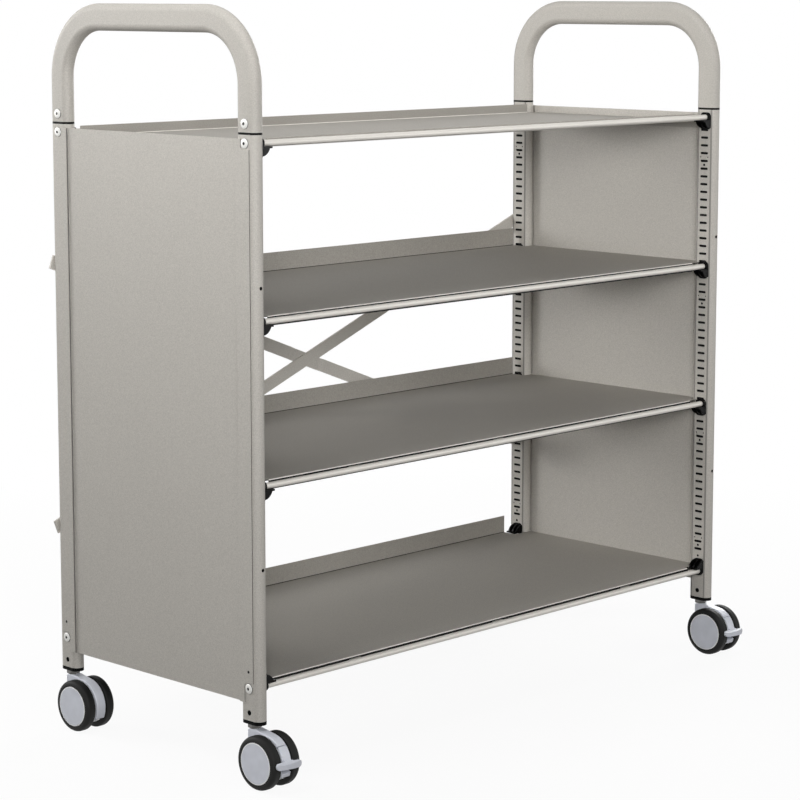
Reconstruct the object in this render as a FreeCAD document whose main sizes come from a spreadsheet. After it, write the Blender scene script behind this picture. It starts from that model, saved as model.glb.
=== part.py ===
"""Mobile shelf trolley: two end frames of flat-oval tube, four hung shelves, a rear
cross brace and four twin-wheel castors. Millimetres, +Z up, floor at z = 0, front at -Y."""
import FreeCAD, Part
import Sketcher
import math
import os
import re

doc = FreeCAD.newDocument("shelf_trolley")
sheet = doc.addObject("Spreadsheet::Sheet", "sizes")

# Driving dimensions, each set by itself
SIZES = {
    # End frames
    "post_pitch_x": 988.0,
    "post_pitch_y": 395.0,
    "post_height": 795.0,
    "tube_depth": 38.0,
    "tube_width": 20.0,
    "tube_wall": 1.5,
    "handle_rise": 168.0,
    "handle_bend": 86.0,
    # Slots and small holes of the posts
    "slot_length": 14.5,
    "slot_height": 3.8,
    "slot_pitch": 12.4,
    "slot_from_top": 20.2,
    "slot_clear_of_foot": 75.0,
    "mark_diameter": 4.0,
    "mark_spread": 14.0,
    "mark_every": 18,
    "mark_first_slot": 15,
    "mark_low_slot": 1,
    "foot_hole_diameter": 7.4,
    "foot_hole_height": 11.0,
    "pilot_hole_height": 68.0,
    # Joiners, plugs and their screws
    "joiner_flange": 2.0,
    "joiner_reach": 40.0,
    "insert_clearance": 0.15,
    "plug_rim": 5.0,
    "plug_reach": 36.0,
    "screw_diameter": 6.0,
    "screw_hole_clearance": 0.3,
    "screw_grip_clearance": 0.05,
    "screw_head_diameter": 14.0,
    "screw_head_height": 3.2,
    "screw_from_joint": 12.0,
    "handle_screw_length": 14.0,
    "screw_from_foot": 44.6,
    "socket_width": 4.0,
    "socket_depth": 2.0,
    # End panels
    "panel_sheet": 1.0,
    "panel_step": 3.0,
    "panel_step_gap": 1.0,
    "panel_below_joint": 6.0,
    "panel_above_foot": 24.5,
    "panel_notch_gap": 1.0,
    "panel_notch_round": 5.0,
    "panel_bend": 0.8,
    # Shelf bars and brackets
    "bar_diameter": 8.5,
    "bar_forward": 5.0,
    "bar_end_round": 2.5,
    "bar_clearance": 0.2,
    "bar_below_slot": 7.3,
    "top_bar_drop": 12.25,
    "upper_slots_down": 18,
    "lower_slots_down": 36,
    "bottom_bar_height": 44.95,
    "bracket_plate": 3.0,
    "bracket_front": 12.0,
    "bracket_rear": 7.0,
    "bracket_top": 7.5,
    "bracket_foot": 20.0,
    "bracket_corner": 6.0,
    "bracket_crown": 7.0,
    "bracket_reach": 19.0,
    "bracket_shoulder": 14.5,
    "bracket_rib": 2.5,
    "bracket_toe": 4.0,
    "ring_wall": 2.0,
    "ring_length": 2.5,
    "hook_clearance": 0.2,
    "hook_depth": 3.0,
    # Shelf decks
    "deck_sheet": 1.0,
    "deck_bend": 1.0,
    "bend_zone": 25.0,
    "deck_above_bar": 5.75,
    "top_deck_drop": 10.8,
    "deck_behind_bar": 8.4,
    "deck_end_gap": 1.5,
    "deck_post_gap": 0.8,
    "deck_skirt": 13.5,
    "deck_corner_gap": 1.5,
    "upstand_height": 29.0,
    "top_upstand_height": 14.0,
    "top_upstand_gap": 4.0,
    "upstand_gap": 6.5,
    "bottom_upstand_gap": 25.0,
    "upstand_behind": 8.0,
    "lug_width": 20.0,
    "lug_height": 6.0,
    "lug_pitch": 300.0,
    "lug_lap": 20.0,
    # Rear cross brace
    "brace_width": 20.0,
    "brace_sheet": 2.5,
    "brace_high": 591.5,
    "brace_low": 210.0,
    "brace_end": 12.0,
    "brace_crank": 30.0,
    "brace_hole_diameter": 5.0,
    "brace_screw_length": 12.0,
    "brace_head_diameter": 12.0,
    "brace_head_height": 3.5,
    # Castors
    "wheel_diameter": 75.0,
    "wheel_width": 15.0,
    "wheel_side_gap": 2.25,
    "spacer_diameter": 16.0,
    "spacer_gap": 0.4,
    "disc_diameter": 58.5,
    "disc_bevel": 0.8,
    "tyre_outer_share": 0.72,
    "tyre_inner_share": 0.36,
    "tyre_bond": 0.03,
    "axle_diameter": 8.0,
    "axle_cover": 2.0,
    "axle_end_gap": 0.7,
    "running_clearance": 0.06,
    "castor_trail": 27.5,
    "hood_width": 16.0,
    "hood_diameter": 74.0,
    "hood_rise": 40.5,
    "hood_back": 6.5,
    "hood_back_low": 10.0,
    "hood_bevel_run": 4.0,
    "hood_bevel_drop": 2.4,
    "hood_neck": 9.0,
    "hood_end_angle": 26.0,
    "hood_edge": 1.8,
    "hub_boss_diameter": 26.0,
    "stem_diameter": 8.0,
    "stem_depth": 24.0,
    "stem_upper_diameter": 11.0,
    "stem_upper_length": 34.0,
    "collar_across": 16.5,
    "collar_turn": 20.0,
    "collar_height": 6.0,
    "swivel_gap": 0.3,
    # Brake lever
    "lever_top_angle": 45.0,
    "lever_low_angle": 6.5,
    "lever_gap": 0.8,
    "lever_travel": 8.0,
    "lever_depth": 12.0,
    "lever_tilt": 3.5,
    "lever_flare": 5.0,
    "lever_arm": 5.0,
    "lever_arm_gap": 0.4,
    "bar_width": 45.0,
    "bar_depth": 6.0,
    "bar_end_depth": 2.8,
    "bar_height": 9.6,
    "bar_rise": 1.8,
    "bar_tyre_gap": 0.7,
}

# Places worked out from the driving dimensions
WORKED = {
    "wheel_radius": "wheel_diameter / 2",
    "hood_top": "wheel_radius + hood_rise",
    "post_bottom": "hood_top + collar_height + plug_rim",
    "post_top": "post_bottom + post_height",
    "lever_reach": "wheel_radius + bar_tyre_gap + bar_depth",
    "front_reach": "post_pitch_y / 2 + castor_trail + lever_reach",
    "rear_reach": "post_pitch_y / 2 + tube_depth / 2 + brace_sheet + brace_head_height",
    "middle_y": "(front_reach - rear_reach) / 2",
    "front_y": "middle_y - post_pitch_y / 2",
    "rear_y": "middle_y + post_pitch_y / 2",
    "post_x": "post_pitch_x / 2",
    "post_inner_x": "post_x - tube_width / 2",
    "post_outer_x": "post_x + tube_width / 2",
    "flat_half": "(tube_depth - tube_width) / 2",
    "slot_count": "floor((post_height - slot_from_top - slot_clear_of_foot) / slot_pitch) + 1",
    "slot_lowest": "post_height - slot_from_top - (slot_count - 1) * slot_pitch",
    "mark_sets": "floor((slot_count - 2 - mark_first_slot) / mark_every) + 1",
    "bar_radius": "bar_diameter / 2",
    "bar_half": "post_inner_x - bracket_plate - bar_clearance",
    "front_bar_y": "front_y - bar_forward",
    "rear_bar_y": "rear_y - bar_forward",
    "top_bar_z": "post_top - top_bar_drop",
    "first_bar_z": "post_top - slot_from_top - bar_below_slot",
    "upper_bar_z": "first_bar_z - upper_slots_down * slot_pitch",
    "lower_bar_z": "first_bar_z - lower_slots_down * slot_pitch",
    "bottom_bar_z": "post_bottom + bottom_bar_height",
    "joint_screw_z": "post_top - screw_from_joint",
    "handle_screw_z": "post_top + joiner_flange + screw_from_joint",
    "foot_screw_z": "post_bottom + screw_from_foot",
    "panel_inner_x": "post_outer_x + panel_sheet - panel_step - panel_sheet",
    "panel_bottom_z": "post_bottom + panel_above_foot",
    "panel_top_z": "post_top - panel_below_joint",
    "deck_half": "panel_inner_x - deck_end_gap",
    "deck_front_y": "front_bar_y + deck_behind_bar",
    "deck_rear_y": "rear_y - tube_depth / 2 - deck_post_gap",
    "deck_back_y": "rear_y + upstand_behind",
    "skirt_half": "post_inner_x - bracket_reach - deck_corner_gap * 2",
    "brace_y": "rear_y + tube_depth / 2",
    "wheel_inner_x": "hood_width / 2 + wheel_side_gap",
    "tyre_wall": "(wheel_diameter - disc_diameter) / 2",
    "tyre_outer_round": "tyre_wall * tyre_outer_share",
    "tyre_inner_round": "tyre_wall * tyre_inner_share",
}

WORD = re.compile(r"[a-z][a-z_]*[a-z]")
KNOWN = set(SIZES) | set(WORKED)

for row, (alias, value) in enumerate(SIZES.items(), start=1):
    sheet.set(f"A{row}", alias)
    sheet.set(f"B{row}", str(value))
    sheet.setAlias(f"B{row}", alias)
for row, (alias, formula) in enumerate(WORKED.items(), start=1):
    sheet.set(f"D{row}", alias)
    sheet.set(f"E{row}", "=" + formula)
    sheet.setAlias(f"E{row}", alias)
doc.recompute()


def size(alias):
    """Number that the sheet holds or works out for one alias."""
    return float(sheet.get(alias))


def in_sheet(match):
    word = match.group(0)
    return f"sizes.{word}" if word in KNOWN else word


def bind(item, **formulas):
    """Tie an object's properties to formulas written in the sheet's words."""
    for name, formula in formulas.items():
        item.setExpression(name.replace("__", "."), WORD.sub(in_sheet, str(formula)))
    return item


def put(item, x="0", y="0", z="0"):
    """Tie an object's place to formulas."""
    return bind(item, Placement__Base__x=x, Placement__Base__y=y, Placement__Base__z=z)


def box(name, x, y, z, length, width, height):
    """Block with its low corner at x, y, z."""
    item = doc.addObject("Part::Box", name)
    bind(item, Length=length, Width=width, Height=height)
    return put(item, x, y, z)


TURN = {
    "x": FreeCAD.Rotation(FreeCAD.Vector(0, 1, 0), 90),
    "y": FreeCAD.Rotation(FreeCAD.Vector(1, 0, 0), -90),
    "z": FreeCAD.Rotation(),
}


def cylinder(name, axis, x, y, z, diameter, length):
    """Round bar that starts at x, y, z and runs towards plus along its axis."""
    item = doc.addObject("Part::Cylinder", name)
    item.Placement.Rotation = TURN[axis]
    bind(item, Radius=f"({diameter}) / 2", Height=length)
    return put(item, x, y, z)


def fuse(name, pieces):
    item = doc.addObject("Part::MultiFuse", name)
    item.Shapes = pieces
    item.Refine = True
    return item


def group(name, pieces):
    item = doc.addObject("Part::Compound", name)
    item.Links = pieces
    return item


def cut(name, base, tools):
    item = doc.addObject("Part::Cut", name)
    item.Base = base
    item.Tool = tools[0] if len(tools) == 1 else group(name + "_tools", tools)
    item.Refine = True
    return item


def rounded(name, base, radius, wanted):
    """Round the edges of a piece that a test on the edge picks."""
    doc.recompute()
    picked = [n for n, edge in enumerate(base.Shape.Edges, start=1) if wanted(edge)]
    item = doc.addObject("Part::Fillet", name)
    item.Base = base
    item.Edges = [(n, radius, radius) for n in picked]
    return item


def is_circle_at(axis, place, radius):
    """Test for a full circle of one radius in the plane axis = place."""
    def test(edge):
        if not isinstance(edge.Curve, Part.Circle):
            return False
        centre = edge.Curve.Center
        return abs(edge.Curve.Radius - radius) < 1e-4 and abs(getattr(centre, axis) - place) < 1e-4
    return test


def is_upright_at(places, sign):
    """Test for an edge along Z at one of the places, given for the right side."""
    def test(edge):
        box = edge.BoundBox
        upright = box.ZLength > edge.Length - 1e-6
        return upright and any(abs(sign * box.XMin - x) < 1e-4 and abs(box.YMin - y) < 1e-4
                               for x, y in places)
    return test


def is_along_at(axis, places):
    """Test for an edge along X or Y, at one of the places given across it and in height."""
    length, other = {"x": ("XLength", "YMin"), "y": ("YLength", "XMin")}[axis]

    def test(edge):
        box = edge.BoundBox
        along = getattr(box, length) > edge.Length - 1e-6
        return along and any(abs(getattr(box, other) - across) < 1e-4 and abs(box.ZMin - z) < 1e-4
                             for across, z in places)
    return test


def obround_bar(name, x, y, z, depth, width, height):
    """Upright solid of the tube's flat-oval outline, centred at x, y."""
    web = box(name + "_web", f"{x} - ({width}) / 2", f"{y} - (({depth}) - ({width})) / 2", z,
              width, f"({depth}) - ({width})", height)
    noses = [
        cylinder(f"{name}_nose_{n}", "z", x, f"{y} {sign} (({depth}) - ({width})) / 2", z, width, height)
        for n, sign in enumerate("-+")
    ]
    return fuse(name, [web] + noses)


def plane(body, role):
    return next(item for item in body.Origin.OriginFeatures if item.Role == role)


def new_sketch(body, name, role):
    sketch = body.newObject("Sketcher::SketchObject", name)
    sketch.AttachmentSupport = [(plane(body, role), "")]
    sketch.MapMode = "FlatFace"
    return sketch


def add_obround(sketch, depth, width):
    """Flat-oval loop about the sketch's origin, its long way along the sketch's Y."""
    radius = 5.0
    reach = 8.0
    up = FreeCAD.Vector(0, 0, 1)
    right = sketch.addGeometry(Part.LineSegment(FreeCAD.Vector(radius, -reach, 0),
                                                FreeCAD.Vector(radius, reach, 0)))
    top = sketch.addGeometry(Part.ArcOfCircle(
        Part.Circle(FreeCAD.Vector(0, reach, 0), up, radius), 0, math.pi))
    left = sketch.addGeometry(Part.LineSegment(FreeCAD.Vector(-radius, reach, 0),
                                               FreeCAD.Vector(-radius, -reach, 0)))
    low = sketch.addGeometry(Part.ArcOfCircle(
        Part.Circle(FreeCAD.Vector(0, -reach, 0), up, radius), math.pi, 2 * math.pi))
    for first, second in ((right, top), (top, left), (left, low), (low, right)):
        sketch.addConstraint(Sketcher.Constraint("Tangent", first, 2, second, 1))
    sketch.addConstraint(Sketcher.Constraint("Vertical", right))
    sketch.addConstraint(Sketcher.Constraint("PointOnObject", top, 3, -2))
    sketch.addConstraint(Sketcher.Constraint("Symmetric", top, 3, low, 3, -1, 1))
    spread = sketch.addConstraint(Sketcher.Constraint("DistanceY", low, 3, top, 3, 2 * reach))
    round_end = sketch.addConstraint(Sketcher.Constraint("Radius", top, radius))
    bind(sketch, **{f"Constraints[{spread}]": f"({depth}) - ({width})",
                    f"Constraints[{round_end}]": f"({width}) / 2"})


def line(first, second):
    return Part.LineSegment(first, second).toShape()


nodes = []


def keep(item, label):
    """Name a finished sub-part: its label is its node's name."""
    item.Label = label
    nodes.append(item)
    return item


SIDES = (("left", -1), ("right", 1))
ENDS = (("front", -1), ("rear", 1))
CORNERS = [(side, sx, end, sy) for side, sx in SIDES for end, sy in ENDS]


def corner_x(sx):
    return f"{sx} * post_x"


def corner_y(sy):
    return "front_y" if sy < 0 else "rear_y"


# Posts: flat-oval tube, slots punched through the inner flat, drilled for screws and brace
def post(side, sx, end, sy):
    name = f"{side}_{end}_post"
    body = doc.addObject("PartDesign::Body", name + "_tube")
    put(body, corner_x(sx), corner_y(sy), "post_bottom")
    section = new_sketch(body, name + "_section", "XY_Plane")
    add_obround(section, "tube_depth", "tube_width")
    add_obround(section, "tube_depth - 2 * tube_wall", "tube_width - 2 * tube_wall")
    pad = body.newObject("PartDesign::Pad", name + "_pad")
    pad.Profile = section
    bind(pad, Length="post_height")
    slot = new_sketch(body, name + "_slot", "YZ_Plane")
    add_obround(slot, "slot_length", "slot_height")
    slot.AttachmentOffset.Rotation = FreeCAD.Rotation(FreeCAD.Vector(0, 0, 1), 90)
    bind(slot, AttachmentOffset__Base__y="slot_lowest",
         AttachmentOffset__Base__z=f"{-sx} * tube_width / 2")
    pocket = body.newObject("PartDesign::Pocket", name + "_slot_pocket")
    pocket.Profile = slot
    pocket.Reversed = sx > 0
    bind(pocket, Length="2 * tube_wall")
    pattern = body.newObject("PartDesign::LinearPattern", name + "_slots")
    pattern.Originals = [pocket]
    pattern.Direction = (plane(body, "Z_Axis"), [""])
    bind(pattern, Length="(slot_count - 1) * slot_pitch", Occurrences="slot_count")
    body.Tip = pattern
    outside = f"{sx} * post_x - tube_width"
    across = "2 * tube_width"
    wall = "tube_width"
    middle_x = corner_x(sx)
    inward_x = f"{sx} * post_x - tube_width" if sx > 0 else middle_x
    outward_x = middle_x if sx > 0 else outside
    screw_hole = "screw_diameter + 2 * screw_hole_clearance"
    y = corner_y(sy)
    drills = [
        cylinder(name + "_joint_hole", "x", outside, y, "joint_screw_z", screw_hole, across),
        cylinder(name + "_shelf_hole", "x", outside, y, "foot_screw_z", screw_hole, across),
        cylinder(name + "_foot_hole", "x", outside, y, "post_bottom + foot_hole_height",
                 "foot_hole_diameter", across),
        cylinder(name + "_pilot_hole", "x", outward_x, y, "post_bottom + pilot_hole_height",
                 "mark_diameter * 3 / 4", wall),
        cylinder(name + "_low_mark", "x", inward_x, y,
                 "post_bottom + slot_lowest - 3 * slot_height", "mark_diameter", wall),
    ]
    for level in ("brace_high", "brace_low"):
        drills.append(cylinder(f"{name}_{level}_hole", "y", middle_x,
                               f"{y} - tube_depth" if sy < 0 else y, f"post_bottom + {level}",
                               "brace_hole_diameter", "tube_depth"))
    marks = ["mark_low_slot"]
    marks += [f"mark_first_slot + {n} * mark_every" for n in range(int(size("mark_sets")))]
    for n, mark in enumerate(marks):
        level = f"post_bottom + slot_lowest + ({mark} + 0.5) * slot_pitch"
        drills.append(cylinder(f"{name}_mark_{n}", "x", inward_x, y, f"{level} - slot_pitch",
                               "mark_diameter", wall))
        for sign in "-+":
            drills.append(cylinder(f"{name}_pair_{n}", "x", inward_x, f"{y} {sign} mark_spread / 2",
                                   level, "mark_diameter / 2", wall))
    keep(cut(name, body, drills), name)


for corner in CORNERS:
    post(*corner)


# Handles: the same tube bent into a U, standing on the joiners of one end frame
def handle(side, sx):
    name = f"{side}_handle"
    body = doc.addObject("PartDesign::Body", name + "_tube")
    put(body, corner_x(sx), "front_y", "post_top + joiner_flange")
    section = new_sketch(body, name + "_section", "XY_Plane")
    add_obround(section, "tube_depth", "tube_width")
    add_obround(section, "tube_depth - 2 * tube_wall", "tube_width - 2 * tube_wall")
    path = new_sketch(body, name + "_path", "YZ_Plane")
    span, leg, bend = 400.0, 60.0, 80.0
    up = FreeCAD.Vector(0, 0, 1)

    def at(x, y):
        return FreeCAD.Vector(x, y, 0)

    front = path.addGeometry(Part.LineSegment(at(0, 0), at(0, leg)))
    first = path.addGeometry(Part.ArcOfCircle(Part.Circle(at(bend, leg), up, bend),
                                              math.pi / 2, math.pi))
    grip = path.addGeometry(Part.LineSegment(at(bend, leg + bend), at(span - bend, leg + bend)))
    second = path.addGeometry(Part.ArcOfCircle(Part.Circle(at(span - bend, leg), up, bend),
                                               0, math.pi / 2))
    back = path.addGeometry(Part.LineSegment(at(span, leg), at(span, 0)))
    for item in (("Coincident", front, 1, -1, 1), ("Tangent", front, 2, first, 2),
                 ("Tangent", first, 1, grip, 1), ("Tangent", grip, 2, second, 2),
                 ("Tangent", second, 1, back, 1), ("Vertical", front), ("Horizontal", grip),
                 ("Vertical", back), ("PointOnObject", back, 2, -1), ("Equal", first, second)):
        path.addConstraint(Sketcher.Constraint(*item))
    across = path.addConstraint(Sketcher.Constraint("DistanceX", front, 1, back, 2, span))
    upright = path.addConstraint(Sketcher.Constraint("DistanceY", front, 1, front, 2, leg))
    turn = path.addConstraint(Sketcher.Constraint("Radius", first, bend))
    bind(path, **{f"Constraints[{across}]": "post_pitch_y",
                  f"Constraints[{upright}]": "handle_rise - handle_bend - tube_depth / 2",
                  f"Constraints[{turn}]": "handle_bend"})
    pipe = body.newObject("PartDesign::AdditivePipe", name + "_pipe")
    pipe.Profile = section
    pipe.Spine = (path, ["Edge1", "Edge2", "Edge3", "Edge4", "Edge5"])
    body.Tip = pipe
    start_x = corner_x(sx) if sx > 0 else f"{sx} * post_x - tube_width"
    holes = [
        cylinder(f"{name}_{end}_hole", "x", start_x, corner_y(sy), "handle_screw_z",
                 "screw_diameter + 2 * screw_hole_clearance", "tube_width")
        for end, sy in ENDS
    ]
    keep(cut(name, body, holes), name)


for side_sign in SIDES:
    handle(*side_sign)


# Joiners: plastic spigot in both tubes, its flange shows as a thin line between them
def joiner(side, sx, end, sy):
    name = f"{side}_{end}_joiner"
    x, y = corner_x(sx), corner_y(sy)
    flange = obround_bar(name + "_flange", x, y, "post_top", "tube_depth", "tube_width", "joiner_flange")
    loss = "2 * (tube_wall + insert_clearance)"
    spigot = obround_bar(name + "_spigot", x, y, "post_top - joiner_reach", f"tube_depth - {loss}",
                         f"tube_width - {loss}", "joiner_flange + 2 * joiner_reach")
    holes = [
        cylinder(f"{name}_{level}_hole", "x", f"{x} - tube_width", y, level,
                 "screw_diameter + 2 * screw_grip_clearance", "2 * tube_width")
        for level in ("joint_screw_z", "handle_screw_z")
    ]
    return cut(name, fuse(name + "_body", [flange, spigot]), holes)


keep(group("joiners", [joiner(*corner) for corner in CORNERS]), "handle_joiners")


# Plugs: plastic sleeve in each post bottom, bored for the castor stem, with a rim below the tube
def plug(side, sx, end, sy):
    name = f"{side}_{end}_plug"
    x, y = corner_x(sx), corner_y(sy)
    rim = obround_bar(name + "_rim", x, y, "post_bottom - plug_rim", "tube_depth", "tube_width",
                      "plug_rim")
    loss = "2 * (tube_wall + insert_clearance)"
    sleeve = obround_bar(name + "_sleeve", x, y, "post_bottom - plug_rim", f"tube_depth - {loss}",
                         f"tube_width - {loss}", "plug_rim + plug_reach")
    bore = cylinder(name + "_bore", "z", x, y, "post_bottom - 2 * plug_rim",
                    "stem_upper_diameter + 2 * screw_grip_clearance", "3 * plug_rim + plug_reach")
    return cut(name, fuse(name + "_body", [rim, sleeve]), [bore])


keep(group("plugs", [plug(*corner) for corner in CORNERS]), "post_plugs")


# Button-head screws: low domed head on the outer flat, hex socket, shank through the tube
def button_screw(name, sx, y, z, length):
    seat = "post_outer_x"
    radius = size("screw_head_diameter") / 2
    outward_x = seat if sx > 0 else f"-{seat} - screw_head_height"
    head = cylinder(name + "_head", "x", outward_x, y, z, "screw_head_diameter", "screw_head_height")
    face = size(seat) + size("screw_head_height")
    dome = rounded(name + "_dome", head, size("screw_head_height") * 0.7,
                   is_circle_at("x", sx * face, radius))
    shank_x = f"{seat} - ({length})" if sx > 0 else f"-{seat}"
    shank = cylinder(name + "_shank", "x", shank_x, y, z, "screw_diameter", length)
    socket = doc.addObject("Part::Prism", name + "_socket")
    socket.Polygon = 6
    socket.Placement.Rotation = TURN["x"]
    bind(socket, Circumradius="socket_width / sqrt(3)", Height="2 * socket_depth")
    socket_x = f"{sx} * (post_outer_x + screw_head_height) - socket_depth"
    put(socket, socket_x, y, z)
    return cut(name, fuse(name + "_body", [dome, shank]), [socket])


through_post = "tube_width + bracket_plate - bar_clearance"
keep(group("upper_screws", [
    button_screw(f"{side}_{end}_handle_screw", sx, corner_y(sy), "handle_screw_z", "handle_screw_length")
    for side, sx, end, sy in CORNERS]), "handle_screws")
keep(group("joint_screws", [
    button_screw(f"{side}_{end}_joint_screw", sx, corner_y(sy), "joint_screw_z", through_post)
    for side, sx, end, sy in CORNERS]), "top_shelf_screws")
keep(group("foot_screws", [
    button_screw(f"{side}_{end}_foot_screw", sx, corner_y(sy), "foot_screw_z", through_post)
    for side, sx, end, sy in CORNERS]), "bottom_shelf_screws")


# End panels: one sheet, its long edges lapped on the posts' outer flats and its field set in
def end_panel(side, sx):
    name = f"{side}_end_panel"

    def slab(part, near_x, far_x, near_y, far_y):
        low_x = f"({near_x})" if sx > 0 else f"-({far_x})"
        return box(f"{name}_{part}", low_x, near_y, "panel_bottom_z", f"({far_x}) - ({near_x})",
                   f"({far_y}) - ({near_y})", "panel_top_z - panel_bottom_z")

    outer = "post_outer_x + panel_sheet"
    inner = "panel_inner_x"
    step_front = "front_y + tube_depth / 2 - panel_step_gap"
    step_rear = "rear_y - tube_depth / 2 + panel_step_gap"
    pieces = [
        slab("field", inner, f"{inner} + panel_sheet", step_front, step_rear),
        slab("front_step", inner, outer, step_front, f"{step_front} + panel_sheet"),
        slab("rear_step", inner, outer, f"{step_rear} - panel_sheet", step_rear),
        slab("front_lap", "post_outer_x", outer, "front_y - flat_half", f"{step_front} + panel_sheet"),
        slab("rear_lap", "post_outer_x", outer, f"{step_rear} - panel_sheet", "rear_y + flat_half"),
    ]
    reach = "screw_head_diameter / 2 + panel_notch_gap"
    notches = []
    for end, sy in ENDS:
        low_y = "front_y - tube_depth" if sy < 0 else f"rear_y - ({reach})"
        for level, low_z, height in (
                ("high", f"joint_screw_z - ({reach})", "tube_depth"),
                ("low", "panel_bottom_z - panel_sheet",
                 f"foot_screw_z + {reach} - panel_bottom_z + panel_sheet")):
            notch = box(f"{name}_{end}_{level}_notch", f"{sx} * post_outer_x - tube_width", low_y,
                        low_z, "2 * tube_width", f"tube_depth + {reach}", height)
            notches.append(rounded(f"{name}_{end}_{level}_notch_round", notch, size("panel_notch_round"),
                                   lambda edge: edge.BoundBox.XLength > edge.Length - 1e-6))
    plain = fuse(name + "_sheet", pieces)
    sheet_thick, bend = size("panel_sheet"), size("panel_bend")
    lap_x, field_x = size("post_outer_x"), size("panel_inner_x")
    front = size("front_y") + size("tube_depth") / 2 - size("panel_step_gap")
    rear = size("rear_y") - size("tube_depth") / 2 + size("panel_step_gap")

    inner_bends = [(lap_x, front), (lap_x, rear), (field_x + sheet_thick, front + sheet_thick),
                   (field_x + sheet_thick, rear - sheet_thick)]
    outer_bends = [(lap_x + sheet_thick, front + sheet_thick), (lap_x + sheet_thick, rear - sheet_thick),
                   (field_x, front), (field_x, rear)]
    inside = rounded(name + "_inner_bends", plain, bend, is_upright_at(inner_bends, sx))
    outside = rounded(name + "_outer_bends", inside, bend + sheet_thick, is_upright_at(outer_bends, sx))
    keep(cut(name, outside, notches), name)


for side_sign in SIDES:
    end_panel(*side_sign)


# Shelf bars: round bar with rounded ends, held in the brackets of both end frames
SHELVES = ("top", "upper", "lower", "bottom")


def shelf_bars(shelf):
    bars = []
    for end, _ in ENDS:
        name = f"{shelf}_{end}_bar"
        plain = cylinder(name + "_plain", "x", "-bar_half", f"{end}_bar_y", f"{shelf}_bar_z",
                         "bar_diameter", "2 * bar_half")
        at_left = is_circle_at("x", -size("bar_half"), size("bar_radius"))
        at_right = is_circle_at("x", size("bar_half"), size("bar_radius"))
        bars.append(rounded(name, plain, size("bar_end_round"),
                            lambda edge, a=at_left, b=at_right: a(edge) or b(edge)))
    keep(group(f"{shelf}_bars", bars), f"{shelf}_shelf_bars")


for shelf_name in SHELVES:
    shelf_bars(shelf_name)


def rib_shape(inward, up):
    """Bracket rib with a bellied edge under the saddle's thin lip, from the post's flat at x = 0
    and the bar's axis at z = 0."""
    near = size("bar_radius") + size("bar_clearance")
    foot = size("bracket_foot") - size("bracket_corner") / 2
    shoulder, toe, thick = size("bracket_shoulder"), size("bracket_toe"), size("bracket_rib")
    lip = near + thick

    def at(off, down):
        return FreeCAD.Vector(inward * off, 0, up * down)

    belly = at(toe + 0.72 * (shoulder - toe), (lip + foot) / 2)
    edges = [line(at(0, near), at(shoulder, near)), line(at(shoulder, near), at(shoulder, lip)),
             Part.Arc(at(shoulder, lip), belly, at(toe, foot)).toShape(),
             line(at(toe, foot), at(0, foot)), line(at(0, foot), at(0, near))]
    return Part.Face(Part.Wire(edges)).extrude(FreeCAD.Vector(0, thick, 0))


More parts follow.
